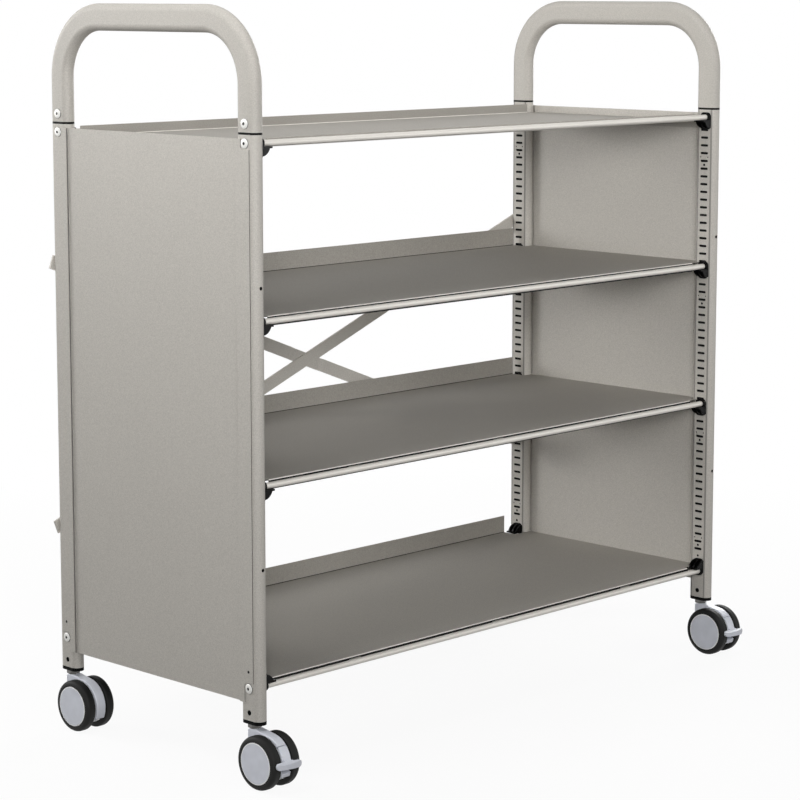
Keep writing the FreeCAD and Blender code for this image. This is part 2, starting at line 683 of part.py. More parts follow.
# Shelf brackets: moulded plate on the post's inner flat, ring round the bar's end, ribbed
# saddle under the bar. The bottom ones stand upside down. Middle ones hook into two slots,
# the top and bottom ones take the screws that come through the posts.
def bracket(shelf, side, sx, end, sy):
    name = f"{shelf}_{side}_{end}_bracket"
    bar_y, bar_z = f"{end}_bar_y", f"{shelf}_bar_z"
    up = 1 if shelf == "bottom" else -1
    post_y = corner_y(sy)

    def slab(part, near, far, low_y, width, near_z, far_z):
        """Block from near to far off the post's flat and from near_z to far_z off the bar."""
        x = f"-post_inner_x + {near}" if sx < 0 else f"post_inner_x - ({far})"
        z = f"{bar_z} + {near_z}" if up > 0 else f"{bar_z} - ({far_z})"
        return box(f"{name}_{part}", x, low_y, z, f"({far}) - ({near})", width, f"({far_z}) - ({near_z})")

    width = "bracket_front + bracket_rear"
    low_y = f"{post_y} - bracket_front"
    plate = slab("plate", "0", "bracket_plate", low_y, width, "-bracket_top", "bracket_foot")
    crown_z = size(bar_z) - up * size("bracket_top")
    foot_z = size(bar_z) + up * size("bracket_foot")
    for end_name, radius, level in (("crown", "bracket_crown", crown_z), ("foot", "bracket_corner", foot_z)):
        plate = rounded(f"{name}_{end_name}_round", plate, size(radius), lambda edge, z=level: (
            edge.BoundBox.XLength > edge.Length - 1e-6 and abs(edge.BoundBox.ZMin - z) < 1e-4))
    saddle_near = "bar_radius + bar_clearance"
    pieces = [
        plate,
        slab("saddle", "0", "bracket_reach", low_y, width, saddle_near, f"{saddle_near} + bracket_rib"),
    ]
    for n, rib_y in enumerate((low_y, f"{post_y} + bracket_rear - bracket_rib",
                               f"{post_y} + (bracket_rear - bracket_front - bracket_rib) / 2")):
        rib = doc.addObject("Part::Feature", f"{name}_rib_{n}")
        rib.Shape = rib_shape(-sx, up)
        pieces.append(put(rib, f"{sx} * post_inner_x", rib_y, bar_z))
    ring_x = "-post_inner_x" if sx < 0 else "post_inner_x - bracket_plate - ring_length"
    ring = cylinder(name + "_ring", "x", ring_x, bar_y, bar_z,
                    "bar_diameter + 2 * (bar_clearance + ring_wall)", "bracket_plate + ring_length")
    pieces.append(ring)
    screwed = {"top": "joint_screw_z", "bottom": "foot_screw_z"}
    if shelf not in screwed:
        for n, level in enumerate(("bar_below_slot - slot_pitch", "bar_below_slot - 2 * slot_pitch")):
            hook_x = "post_inner_x - bracket_plate / 2"
            if sx < 0:
                hook_x = "-post_inner_x - tube_wall - hook_depth"
            pieces.append(box(f"{name}_hook_{n}", hook_x, f"{post_y} - slot_length / 4",
                              f"{bar_z} + {level} - slot_height / 2 + hook_clearance",
                              "tube_wall + hook_depth + bracket_plate / 2",
                              "slot_length / 2", "slot_height - 2 * hook_clearance"))
    bar_hole_x = "post_inner_x - bracket_plate - bracket_reach"
    if sx < 0:
        bar_hole_x = "-post_inner_x + bracket_plate"
    tools = [cylinder(name + "_bar_hole", "x", bar_hole_x, bar_y, bar_z,
                      "bar_diameter + 2 * bar_clearance", "bracket_reach")]
    if shelf in screwed:
        hole_x = "-post_inner_x - bracket_plate" if sx < 0 else "post_inner_x - bracket_plate"
        tools.append(cylinder(name + "_screw_hole", "x", hole_x, post_y, screwed[shelf],
                              "screw_diameter + 2 * screw_grip_clearance", "2 * bracket_plate"))
    return cut(name, fuse(name + "_body", pieces), tools)


for shelf_name in SHELVES:
    keep(group(f"{shelf_name}_brackets", [bracket(shelf_name, *corner) for corner in CORNERS]),
         f"{shelf_name}_shelf_brackets")


# Shelf decks: folded sheet with side skirts, a front fold behind the bar, a rear upstand, and
# lugs that saddle the two bars. The upstand stands between the rear posts, but for the top deck:
# that is a tray in front of them, its folds stand up instead of down.
def shelf_deck(shelf):
    name = f"{shelf}_shelf_deck"
    bar_z = f"{shelf}_bar_z"
    tray = shelf == "top"
    face = f"{bar_z} + deck_above_bar"
    deck_z = f"{face} - top_deck_drop" if tray else face
    depth = "deck_rear_y - deck_front_y"
    back_y = "deck_rear_y" if tray else "deck_back_y"
    back_zone = "bend_zone" if tray else "deck_back_y - deck_rear_y"
    rise = "top_upstand_height" if tray else "upstand_height"
    gaps = {"top": "top_upstand_gap", "bottom": "bottom_upstand_gap"}
    upstand_half = f"post_inner_x - {gaps.get(shelf, 'upstand_gap')}"
    fold_z = f"{deck_z} - deck_sheet" if tray else f"{deck_z} - deck_skirt"
    fold_height = "top_deck_drop + deck_sheet" if tray else "deck_skirt"
    bend, sheet_thick, top = size("deck_bend"), size("deck_sheet"), size(f"{shelf}_bar_z")
    top += size("deck_above_bar") - (size("top_deck_drop") if tray else 0)
    front, rear = size("deck_front_y"), size(back_y)

    def folded(part, half, near_y, zone, fold_y, low_z, height, inner, outer):
        """Strip of deck with a fold along its outer edge, bent to the sheet's radius."""
        flat = box(f"{name}_{part}_flat", f"-({half})", near_y, f"{deck_z} - deck_sheet", f"2 * ({half})",
                   zone, "deck_sheet")
        fold = box(f"{name}_{part}_fold", f"-({half})", fold_y, low_z, f"2 * ({half})",
                   "deck_sheet", height)
        plain = fuse(f"{name}_{part}_plain", [flat, fold])
        inside = rounded(f"{name}_{part}_inner", plain, bend, is_along_at("x", [inner]))
        return rounded(f"{name}_{part}_outer", inside, bend + sheet_thick, is_along_at("x", [outer]))

    low_face, high_face = top - sheet_thick, top
    front_faces = (high_face, low_face) if tray else (low_face, high_face)
    pieces = [
        folded("front", "skirt_half", "deck_front_y", "bend_zone", "deck_front_y", fold_z, fold_height,
               (front + sheet_thick, front_faces[0]), (front, front_faces[1])),
        folded("rear", upstand_half, f"{back_y} - ({back_zone})", back_zone, f"{back_y} - deck_sheet",
               f"{deck_z} - deck_sheet", f"deck_sheet + {rise}",
               (rear - sheet_thick, high_face), (rear, low_face)),
    ]
    plate = box(name + "_plate", "-deck_half", "deck_front_y + bend_zone", f"{deck_z} - deck_sheet",
                "2 * deck_half", f"{back_y} - ({back_zone}) - deck_front_y - bend_zone", "deck_sheet")
    ears = [("front", "skirt_half", "deck_front_y")]
    if tray:
        ears.append(("rear", upstand_half, "deck_rear_y - bend_zone"))
    sides = [plate]
    for side, sx in SIDES:
        skirt_x = "-deck_half" if sx < 0 else "deck_half - deck_sheet"
        sides.append(box(f"{name}_{side}_skirt", skirt_x, "deck_front_y", f"{deck_z} - deck_skirt",
                         "deck_sheet", depth, "deck_skirt"))
        for end, half, ear_y in ears:
            ear_x = "-deck_half" if sx < 0 else f"({half})"
            sides.append(box(f"{name}_{side}_{end}_ear", ear_x, ear_y, f"{deck_z} - deck_sheet",
                             f"deck_half - ({half})", "bend_zone", "deck_sheet"))
    half = size("deck_half")
    field = rounded(name + "_field_inner", fuse(name + "_field", sides), bend,
                    is_along_at("y", [(sheet_thick - half, low_face), (half - sheet_thick, low_face)]))
    pieces.append(rounded(name + "_field_outer", field, bend + sheet_thick,
                          is_along_at("y", [(-half, high_face), (half, high_face)])))
    for n in (-1, 0, 1):
        lug_x = f"{n} * lug_pitch - lug_width / 2"
        pieces.append(box(f"{name}_front_lug_{n + 1}", lug_x, "front_bar_y", f"{bar_z} - lug_height / 2",
                          "lug_width", "deck_behind_bar + deck_sheet / 2", "lug_height"))
        if tray:
            lug_y, lug_z = "deck_rear_y - deck_sheet / 2", f"{bar_z} - lug_height / 2"
        else:
            lug_y, lug_z = "deck_rear_y - lug_lap", f"{deck_z} - deck_sheet / 2 - lug_height"
        pieces.append(box(f"{name}_rear_lug_{n + 1}", lug_x, lug_y, lug_z, "lug_width",
                          f"rear_bar_y - ({lug_y})", "lug_height"))
    tools = [
        cylinder(f"{name}_{end}_saddle", "x", "-bar_half", f"{end}_bar_y", bar_z, "bar_diameter",
                 "2 * bar_half")
        for end, _ in ENDS
    ]
    notch_x = "post_inner_x - bracket_plate - deck_corner_gap"
    for side, sx in SIDES:
        low_x = "-deck_half - tube_width" if sx < 0 else notch_x
        tools.append(box(f"{name}_{side}_corner", low_x, "front_bar_y - tube_depth",
                         f"{deck_z} - tube_depth", f"deck_half + tube_width - ({notch_x})",
                         "front_y + tube_depth / 2 + deck_corner_gap - front_bar_y + tube_depth",
                         "2 * tube_depth"))
        if shelf in gaps:
            low_x = "-deck_half" if sx < 0 else "skirt_half"
            tools.append(box(f"{name}_{side}_bracket_corner", low_x, "front_bar_y - tube_depth",
                             f"{deck_z} - tube_depth", "deck_half - skirt_half",
                             "front_y + bracket_rear + deck_corner_gap - front_bar_y + tube_depth",
                             "2 * tube_depth"))
    keep(cut(name, fuse(name + "_sheet", pieces), tools), name)


for shelf_name in SHELVES:
    shelf_deck(shelf_name)


# Cross brace: two flat bars on the rear posts' back edges, one cranked over the other
def brace_outline(crank):
    """Side view of a brace bar as points along its length and off the posts."""
    run = math.hypot(size("post_pitch_x"), size("brace_high") - size("brace_low"))
    tail = size("brace_end")
    thick = size("brace_sheet")
    if not crank:
        return [(-tail, 0), (run + tail, 0), (run + tail, thick), (-tail, thick)], run
    near = run / 2 - size("brace_crank")
    far = near - 4 * thick
    front = [(-tail, 0), (far, 0), (near, thick), (run - near, thick), (run - far, 0), (run + tail, 0)]
    return front + [(s, y + thick) for s, y in reversed(front)], run


def brace_bar(name, rising, crank):
    outline, run = brace_outline(crank)
    width, thick = size("brace_width"), size("brace_sheet")
    points = [FreeCAD.Vector(s, y, -width / 2) for s, y in outline]
    face = Part.Face(Part.makePolygon(points + points[:1]))
    solid = face.extrude(FreeCAD.Vector(0, 0, width))
    for s in (0, run):
        start = FreeCAD.Vector(s, -thick, 0)
        solid = solid.cut(Part.makeCylinder(size("brace_hole_diameter") / 2, 4 * thick, start,
                                            FreeCAD.Vector(0, 1, 0)))
    item = doc.addObject("Part::Feature", name)
    item.Shape = solid
    climb = math.degrees(math.atan2(size("brace_high") - size("brace_low"), size("post_pitch_x")))
    start = "brace_low" if rising else "brace_high"
    item.Placement = FreeCAD.Placement(
        FreeCAD.Vector(-size("post_x"), size("brace_y"), size("post_bottom") + size(start)),
        FreeCAD.Rotation(FreeCAD.Vector(0, 1, 0), -climb if rising else climb))
    keep(item, name)


brace_bar("rising_brace_bar", True, False)
brace_bar("falling_brace_bar", False, True)


def brace_screw(name, sx, level):
    head_y = "brace_y + brace_sheet"
    x, z = corner_x(sx), f"post_bottom + {level}"
    head = cylinder(name + "_head", "y", x, head_y, z, "brace_head_diameter", "brace_head_height")
    dome = rounded(name + "_dome", head, size("brace_head_height") * 0.8,
                   is_circle_at("y", size("brace_y") + size("brace_sheet") + size("brace_head_height"),
                                size("brace_head_diameter") / 2))
    shank = cylinder(name + "_shank", "y", x, f"{head_y} - brace_screw_length", z,
                     "brace_hole_diameter - 2 * screw_grip_clearance", "brace_screw_length")
    return fuse(name, [dome, shank])


keep(group("brace_fixings", [
    brace_screw(f"{side}_{level}_screw", sx, level)
    for side, sx in SIDES for level in ("brace_high", "brace_low")]), "brace_screws")


# Castor stems: steel pin held in the plug, its hexagon collar against the plug's rim
def castor_stem(side, sx, end, sy):
    name = f"{side}_{end}_stem"
    x, y = corner_x(sx), corner_y(sy)
    collar = doc.addObject("Part::Prism", name + "_collar")
    collar.Polygon = 6
    collar.Placement.Rotation = FreeCAD.Rotation(FreeCAD.Vector(0, 0, 1), size("collar_turn"))
    bind(collar, Circumradius="collar_across / sqrt(3)", Height="collar_height - swivel_gap")
    return fuse(name, [
        cylinder(name + "_pin", "z", x, y, "hood_top - stem_depth", "stem_diameter",
                 "stem_depth + collar_height"),
        put(collar, x, y, "hood_top + swivel_gap"),
        cylinder(name + "_upper", "z", x, y, "hood_top + collar_height", "stem_upper_diameter",
                 "stem_upper_length"),
    ])


keep(group("stems", [castor_stem(*corner) for corner in CORNERS]), "castor_stems")


def arc_through(centre, radius, start, end):
    """Arc in the YZ plane from start to end, angles in degrees from -Y towards +Z."""
    def at(angle):
        turn = math.radians(angle)
        return FreeCAD.Vector(0, centre[0] - radius * math.cos(turn), centre[1] + radius * math.sin(turn))
    return Part.Arc(at(start), at((start + end) / 2), at(end)).toShape(), at(start), at(end)


def prism(edges, low_x, high_x):
    """Solid of a closed outline in the YZ plane, from low_x to high_x."""
    face = Part.Face(Part.Wire(edges))
    face.translate(FreeCAD.Vector(low_x, 0, 0))
    return face.extrude(FreeCAD.Vector(high_x - low_x, 0, 0))


def sector(inner, outer, start, end, half_width):
    """Piece of a ring about the wheel's axle, angles in degrees from -Y towards +Z."""
    centre = (-size("castor_trail"), size("wheel_radius"))
    far, far_start, far_end = arc_through(centre, outer, start, end)
    near, near_start, near_end = arc_through(centre, inner, start, end)
    edges = [far, line(far_end, near_end), near, line(near_start, far_start)]
    return prism(edges, -half_width, half_width)


# Castor hoods: moulded fender between the wheels, bored for the stem and the axle
def hood_shape(braked):
    trail, axle_z, top = -size("castor_trail"), size("wheel_radius"), size("hood_top")
    radius, half = size("hood_diameter") / 2, size("hood_width") / 2
    back, boss = size("hood_back"), size("hub_boss_diameter") / 2
    neck = FreeCAD.Vector(0, -size("hood_neck"), top)
    rise, run = top - axle_z, -size("hood_neck") - trail
    tangent = 180 - math.degrees(math.atan2(rise, run) + math.acos(radius / math.hypot(rise, run)))
    outer, tip, shoulder = arc_through((trail, axle_z), radius, -size("hood_end_angle"), tangent)
    under, under_front, under_back = arc_through((trail, axle_z), boss, -60, -150)
    back_low = FreeCAD.Vector(0, back, axle_z + size("hood_back_low"))
    back_high = FreeCAD.Vector(0, back, top - size("hood_bevel_drop"))
    back_top = FreeCAD.Vector(0, back - size("hood_bevel_run"), top)
    solid = prism([outer, line(shoulder, neck), line(neck, back_top), line(back_top, back_high),
                   line(back_high, back_low), line(back_low, under_back), under, line(under_front, tip)],
                  -half, half)
    edges = [edge for edge in solid.Edges
             if edge.BoundBox.XLength < 1e-6 and edge.BoundBox.ZMax > axle_z + boss
             and edge.CenterOfMass.z > axle_z - boss / 2]
    solid = solid.makeFillet(size("hood_edge"), edges)
    stem = size("stem_diameter") / 2 + size("running_clearance")
    depth = size("stem_depth") + size("swivel_gap")
    solid = solid.cut(Part.makeCylinder(stem, 2 * depth, FreeCAD.Vector(0, 0, top - depth)))
    axle = Part.makeCylinder(size("axle_diameter") / 2 + size("tyre_bond"), 4 * half,
                             FreeCAD.Vector(-2 * half, trail, axle_z), FreeCAD.Vector(1, 0, 0))
    solid = solid.cut(axle)
    if braked:
        gap, inner = size("lever_gap"), radius - size("lever_depth")
        low = -size("lever_low_angle") - size("lever_travel")
        slack = math.degrees(gap / inner)
        high = size("lever_top_angle")
        solid = solid.cut(sector(inner - gap, 2 * radius, low - slack, high, 2 * half))
        arm = size("lever_arm") / 2 + size("lever_arm_gap")
        solid = solid.cut(sector(size("axle_diameter") / 4, radius, low - slack, high, arm))
        start = FreeCAD.Vector(-arm, trail, axle_z)
        solid = solid.cut(Part.makeCylinder(lever_eye() + gap, 2 * arm, start, FreeCAD.Vector(1, 0, 0)))
    return solid


def lever_eye():
    """Radius of the lever's eye round the axle."""
    return size("axle_diameter") / 2 + size("lever_arm") / 2


def lever_head():
    """T-bar and the flared foot of its stem, about the axle: what its front outline, its plan and
    its side profile have in common."""
    radius = size("hood_diameter") / 2
    stem = size("hood_width") / 2 - size("hood_edge")
    wide, tall = size("bar_width") / 2, size("bar_height") / 2
    flare, slope = size("lever_flare"), math.tan(math.radians(size("lever_tilt")))
    front, back = -size("lever_reach"), -size("wheel_radius") - size("bar_tyre_gap")
    end_front, root = back - size("bar_end_depth"), 2 * size("hood_edge") - radius
    corner = flare * (1 - math.sqrt(0.5))

    def seen(x, z):
        return FreeCAD.Vector(x, front - 1, size("bar_rise") + z - slope * x)

    def from_above(x, y):
        return FreeCAD.Vector(x, y, -radius)

    def from_side(y, z):
        return FreeCAD.Vector(0, y, z)

    def chain(points):
        """Closed run of edges through points. A tuple is the middle and the end of an arc."""
        edges, here = [], points[0]
        for step in points[1:] + points[:1]:
            if isinstance(step, tuple):
                edges.append(Part.Arc(here, *step).toShape())
                here = step[1]
            else:
                edges.append(line(here, step))
                here = step
        return edges

    outline = chain([
        seen(-stem, radius / 2), seen(-stem, tall + flare),
        (seen(-stem - corner, tall + corner), seen(-stem - flare, tall)), seen(tall - wide, tall),
        (seen(-wide, 0), seen(tall - wide, -tall)), seen(wide - tall, -tall),
        (seen(wide, 0), seen(wide - tall, tall)), seen(stem + flare, tall),
        (seen(stem + corner, tall + corner), seen(stem, tall + flare)), seen(stem, radius / 2)])
    face = Part.Face(Part.Wire(outline)).extrude(FreeCAD.Vector(0, root - front + 1, 0))
    plan = chain([
        from_above(-wide, end_front), (from_above(0, front), from_above(wide, end_front)),
        from_above(wide, back), from_above(stem, back), from_above(stem, root), from_above(-stem, root),
        from_above(-stem, back), from_above(-wide, back)])
    above = Part.Face(Part.Wire(plan)).extrude(FreeCAD.Vector(0, 0, 2 * radius))
    brow = radius * 0.42
    brow_front = -math.sqrt(radius ** 2 - brow ** 2)
    low = -tall - slope * wide
    profile = chain([
        from_side(root, brow), from_side(brow_front, brow),
        (from_side(brow_front * 0.7 + front * 0.3, brow * 0.56),
         from_side(front, size("bar_rise") + tall / 2)),
        from_side(front, low), from_side(root, low)])
    return face.common(above).common(prism(profile, -2 * wide, 2 * wide))


# Brake levers: fender piece on an arm that turns on the axle, with a T-bar for the foot
def lever_shape():
    trail, axle_z = -size("castor_trail"), size("wheel_radius")
    radius, half = size("hood_diameter") / 2, size("hood_width") / 2
    inner = radius - size("lever_depth")
    slack = math.degrees(size("lever_gap") / inner)
    top, low = size("lever_top_angle") - slack, -size("lever_low_angle")
    cover = sector(inner, radius, low, top, half)
    rims = [edge for edge in cover.Edges
            if isinstance(edge.Curve, Part.Circle) and abs(edge.Curve.Radius - radius) < 1e-4]
    cover = cover.makeFillet(size("hood_edge"), rims)
    arm_half = size("lever_arm") / 2
    arm = sector(size("axle_diameter") / 2 + 1, inner + 1, low, top, arm_half)
    eye = Part.makeCylinder(lever_eye(), 2 * arm_half, FreeCAD.Vector(-arm_half, trail, axle_z),
                            FreeCAD.Vector(1, 0, 0))
    head = lever_head()
    head.translate(FreeCAD.Vector(0, trail, axle_z))
    solid = cover.fuse([arm, eye, head]).removeSplitter()
    bore = Part.makeCylinder(size("axle_diameter") / 2 + size("running_clearance"), 4 * half,
                             FreeCAD.Vector(-2 * half, trail, axle_z), FreeCAD.Vector(1, 0, 0))
    return solid.cut(bore)


def at_corner(name, shape, sx, sy):
    item = doc.addObject("Part::Feature", name)
    item.Shape = shape
    y = size(corner_y(sy))
    item.Placement = FreeCAD.Placement(FreeCAD.Vector(sx * size("post_x"), y, 0), FreeCAD.Rotation())
    return item


# Wheels: nylon hub with a flat disc face, rubber tyre bonded round it, both on the axle
def wheel(name, sx, sy, wheel_sign):
    y = f"{corner_y(sy)} - castor_trail"
    x = f"{corner_x(sx)} + wheel_inner_x"
    if wheel_sign < 0:
        x = f"{corner_x(sx)} - wheel_inner_x - wheel_width"
    inner_face = sx * size("post_x") + wheel_sign * size("wheel_inner_x")
    outer_face = inner_face + wheel_sign * size("wheel_width")
    tread = cylinder(name + "_tread", "x", x, y, "wheel_radius", "wheel_diameter", "wheel_width")
    seat = cylinder(name + "_seat", "x", x, y, "wheel_radius", "disc_diameter + 2 * tyre_bond", "wheel_width")
    ring = cut(name + "_ring", tread, [seat])
    outer_edge = is_circle_at("x", outer_face, size("wheel_radius"))
    inner_edge = is_circle_at("x", inner_face, size("wheel_radius"))
    once = rounded(name + "_shoulder", ring, size("tyre_outer_round"), outer_edge)
    keep(rounded(name + "_tyre", once, size("tyre_inner_round"), inner_edge), name + "_tyre")
    hub = cylinder(name + "_core", "x", x, y, "wheel_radius", "disc_diameter", "wheel_width")
    hub = rounded(name + "_face", hub, size("disc_bevel"),
                  is_circle_at("x", outer_face, size("disc_diameter") / 2))
    spacer_x = f"{x} - wheel_side_gap + spacer_gap" if wheel_sign > 0 else f"{x} + wheel_width"
    spacer = cylinder(name + "_spacer", "x", spacer_x, y, "wheel_radius", "spacer_diameter",
                      "wheel_side_gap - spacer_gap")
    bore_x = f"{x} - axle_cover - wheel_side_gap" if wheel_sign > 0 else f"{x} + axle_cover"
    bore = cylinder(name + "_bore", "x", bore_x, y, "wheel_radius",
                    "axle_diameter + 2 * running_clearance", "wheel_width + wheel_side_gap")
    keep(cut(name + "_hub", fuse(name + "_body", [hub, spacer]), [bore]), name + "_hub")


for side, sx, end, sy in CORNERS:
    castor = f"{end}_{side}"
    braked_castor = end == "front"
    keep(at_corner(f"{castor}_hood", hood_shape(braked_castor), sx, sy), f"{castor}_hood")
    half_axle = "wheel_inner_x + wheel_width - axle_cover - axle_end_gap"
    axle_pin = cylinder(f"{castor}_axle", "x", f"{corner_x(sx)} - ({half_axle})",
                        f"{corner_y(sy)} - castor_trail", "wheel_radius", "axle_diameter",
                        f"2 * ({half_axle})")
    keep(axle_pin, f"{castor}_axle")
    for wheel_name, wheel_sign in SIDES:
        wheel(f"{castor}_{wheel_name}", sx, sy, wheel_sign)
    if braked_castor:
        keep(at_corner(f"{castor}_brake_lever", lever_shape(), sx, sy), f"{castor}_brake_lever")

doc.recompute()

# Nothing is written unless every object came out whole
for item in doc.Objects:
    if "Invalid" in item.State or "Error" in item.State:
        raise RuntimeError(f"{item.Label} failed: {item.State}")
for item in nodes:
    if item.Shape.isNull() or not item.Shape.isValid() or not item.Shape.Solids:
        raise RuntimeError(f"{item.Label} has no sound solid")
for sx_name, _, end_name, _ in CORNERS:
    tube = doc.getObject(f"{sx_name}_{end_name}_post_tube")
    plain = doc.getObject(f"{sx_name}_{end_name}_post_pad")
    if tube.Shape.Volume > plain.Shape.Volume - 1:
        raise RuntimeError(f"{tube.Label} has no slots")

os.makedirs("parts", exist_ok=True)
for item in nodes:
    item.Shape.exportStep(f"parts/{item.Label}.step")
print(len(nodes), "nodes")
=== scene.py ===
import math

import bpy
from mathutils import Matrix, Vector


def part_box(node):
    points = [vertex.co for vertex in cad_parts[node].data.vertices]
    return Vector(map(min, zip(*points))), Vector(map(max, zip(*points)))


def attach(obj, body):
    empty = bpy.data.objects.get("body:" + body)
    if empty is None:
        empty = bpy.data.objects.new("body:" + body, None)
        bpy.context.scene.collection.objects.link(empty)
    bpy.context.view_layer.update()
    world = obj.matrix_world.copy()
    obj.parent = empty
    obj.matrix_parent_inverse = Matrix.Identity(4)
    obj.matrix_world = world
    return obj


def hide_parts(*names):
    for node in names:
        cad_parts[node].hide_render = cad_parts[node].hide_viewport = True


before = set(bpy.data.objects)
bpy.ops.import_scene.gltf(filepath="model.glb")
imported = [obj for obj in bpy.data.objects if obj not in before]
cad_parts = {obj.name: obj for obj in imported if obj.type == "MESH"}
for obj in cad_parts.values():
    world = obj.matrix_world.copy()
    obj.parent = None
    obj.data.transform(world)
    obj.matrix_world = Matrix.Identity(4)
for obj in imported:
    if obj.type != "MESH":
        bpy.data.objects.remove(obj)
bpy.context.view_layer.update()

# Posts: four uprights of flat-oval steel tube, one at each corner.
# Their slots and holes are punched before the whole frame is powder coated,
# in a warm silver grey with a fine, slightly sparkling grain.


def linear(red, green, blue):
    """Colour as a paint card gives it, 0 to 255, turned into the shader's linear values."""
    def one(value):
        share = value / 255
        return share / 12.92 if share <= 0.04045 else ((share + 0.055) / 1.055) ** 2.4
    return one(red), one(green), one(blue), 1.0


def middle(node):
    """Middle of a CAD node's box."""
    low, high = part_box(node)
    return (low + high) / 2


def feed(tree, value, socket):
    """Link a node's output to an input, or set the input to a plain value."""
    if isinstance(value, bpy.types.NodeSocket):
        tree.links.new(value, socket)
    else:
        socket.default_value = value


def noise(tree, place, scale, detail=2.0):
    """Noise over the surface, scale in lumps per metre."""
    item = tree.nodes.new("ShaderNodeTexNoise")
    item.inputs["Detail"].default_value = detail
    feed(tree, scale, item.inputs["Scale"])
    feed(tree, place, item.inputs["Vector"])
    return item.outputs["Fac"]


def ranged(tree, value, low, high, new_low, new_high):
    """Value spread from one range to another, clamped."""
    item = tree.nodes.new("ShaderNodeMapRange")
    item.inputs["From Min"].default_value = low
    item.inputs["From Max"].default_value = high
    item.inputs["To Min"].default_value = new_low
    item.inputs["To Max"].default_value = new_high
    feed(tree, value, item.inputs["Value"])
    return item.outputs["Result"]


def combine(tree, operation, first, second):
    """Sum, product or comparison of two values."""
    item = tree.nodes.new("ShaderNodeMath")
    item.operation = operation
    feed(tree, first, item.inputs[0])
    feed(tree, second, item.inputs[1])
    return item.outputs[0]


def mixed(tree, first, second, factor=1.0, blend="MIX"):
    """Two colours mixed, or multiplied."""
    color_a, color_b, color_result = 6, 7, 2
    item = tree.nodes.new("ShaderNodeMix")
    item.data_type = "RGBA"
    item.blend_type = blend
    feed(tree, factor, item.inputs["Factor"])
    feed(tree, first, item.inputs[color_a])
    feed(tree, second, item.inputs[color_b])
    return item.outputs[color_result]


def surface_group(name, inputs):
    """Empty shader group that puts out colour, roughness and height, with its input and output nodes."""
    group = bpy.data.node_groups.new(name, "ShaderNodeTree")
    for label, kind, value in inputs:
        socket = group.interface.new_socket(name=label, in_out="INPUT", socket_type=kind)
        socket.default_value = value
    for label, kind in (("Color", "NodeSocketColor"), ("Roughness", "NodeSocketFloat"),
                        ("Height", "NodeSocketFloat")):
        group.interface.new_socket(name=label, in_out="OUTPUT", socket_type=kind)
    return group, group.nodes.new("NodeGroupInput").outputs, group.nodes.new("NodeGroupOutput").inputs


def powder_group():
    """Powder coat: grains that catch the light, cloudy thickness, orange-peel height."""
    group, take, give = surface_group("powder_coat", [
        ("Color", "NodeSocketColor", (0.5, 0.5, 0.5, 1)),
        ("Grain", "NodeSocketFloat", 0.1),
        ("Roughness", "NodeSocketFloat", 0.4)])
    place = group.nodes.new("ShaderNodeTexCoord").outputs["Object"]
    grains = noise(group, place, scale=1600, detail=1.0)
    flecks = noise(group, place, scale=700)
    clouds = noise(group, place, scale=9, detail=3.0)
    peel = noise(group, place, scale=420)
    shade = combine(group, "ADD", ranged(group, grains, 0.25, 0.75, -0.5, 0.5),
                    ranged(group, flecks, 0.3, 0.7, -0.5, 0.5))
    shade = combine(group, "MULTIPLY", shade, take["Grain"])
    shade = combine(group, "ADD", shade, ranged(group, clouds, 0.2, 0.8, 0.985, 1.015))
    rough = ranged(group, flecks, 0.3, 0.7, -0.05, 0.05)
    feed(group, mixed(group, take["Color"], shade, blend="MULTIPLY"), give["Color"])
    feed(group, combine(group, "ADD", take["Roughness"], rough), give["Roughness"])
    feed(group, peel, give["Height"])
    return group


def new_material(name):
    """Empty material and its shader."""
    material = bpy.data.materials.new(name)
    material.use_nodes = True
    return material, material.node_tree.nodes["Principled BSDF"]


def surfaced(name, group, values, marks, gloss, relief, strength):
    """Material with a shader group's colour, roughness and relief in metres.

    Each mark is a mask and the colour that shows there instead."""
    material, shader = new_material(name)
    tree = material.node_tree
    coat = tree.nodes.new("ShaderNodeGroup")
    coat.node_tree = group
    for label, value in values.items():
        coat.inputs[label].default_value = value
    shown = coat.outputs["Color"]
    for mask, mark_color in marks:
        shown = mixed(tree, shown, mark_color, factor=mask(tree))
    bump = tree.nodes.new("ShaderNodeBump")
    bump.inputs["Strength"].default_value = strength
    bump.inputs["Distance"].default_value = relief
    feed(tree, coat.outputs["Height"], bump.inputs["Height"])
    feed(tree, shown, shader.inputs["Base Color"])
    feed(tree, coat.outputs["Roughness"], shader.inputs["Roughness"])
    feed(tree, bump.outputs["Normal"], shader.inputs["Normal"])
    shader.inputs["Specular IOR Level"].default_value = gloss
    return material, shader


POWDER_COAT = powder_group()


def powder_coated(name, color, grain=0.24, roughness=0.56, gloss=0.3, metallic=0.05, marks=()):
    """Paint for a piece."""
    values = {"Color": color, "Grain": grain, "Roughness": roughness}
    material, shader = surfaced(name, POWDER_COAT, values, marks, gloss, relief=0.00006, strength=0.5)
    shader.inputs["Metallic"].default_value = metallic
    return material


def finish_node(name, material):
    """Give a CAD node its finish in every slot."""
    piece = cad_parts[name]
    piece.data.materials.clear()
    piece.data.materials.append(material)


def split_place(tree, coordinate):
    """The three numbers of a texture coordinate, such as Object or Normal."""
    split = tree.nodes.new("ShaderNodeSeparateXYZ")
    feed(tree, tree.nodes.new("ShaderNodeTexCoord").outputs[coordinate], split.inputs["Vector"])
    return split.outputs["X"], split.outputs["Y"], split.outputs["Z"]


def off(tree, value, line):
    """How far a value is from a line, either way."""
    return combine(tree, "ABSOLUTE", combine(tree, "SUBTRACT", value, line), 0)


def off_nearer(tree, value, front, rear):
    """How far a value is from the nearer of two lines."""
    return off(tree, off(tree, value, (front + rear) / 2), (rear - front) / 2)


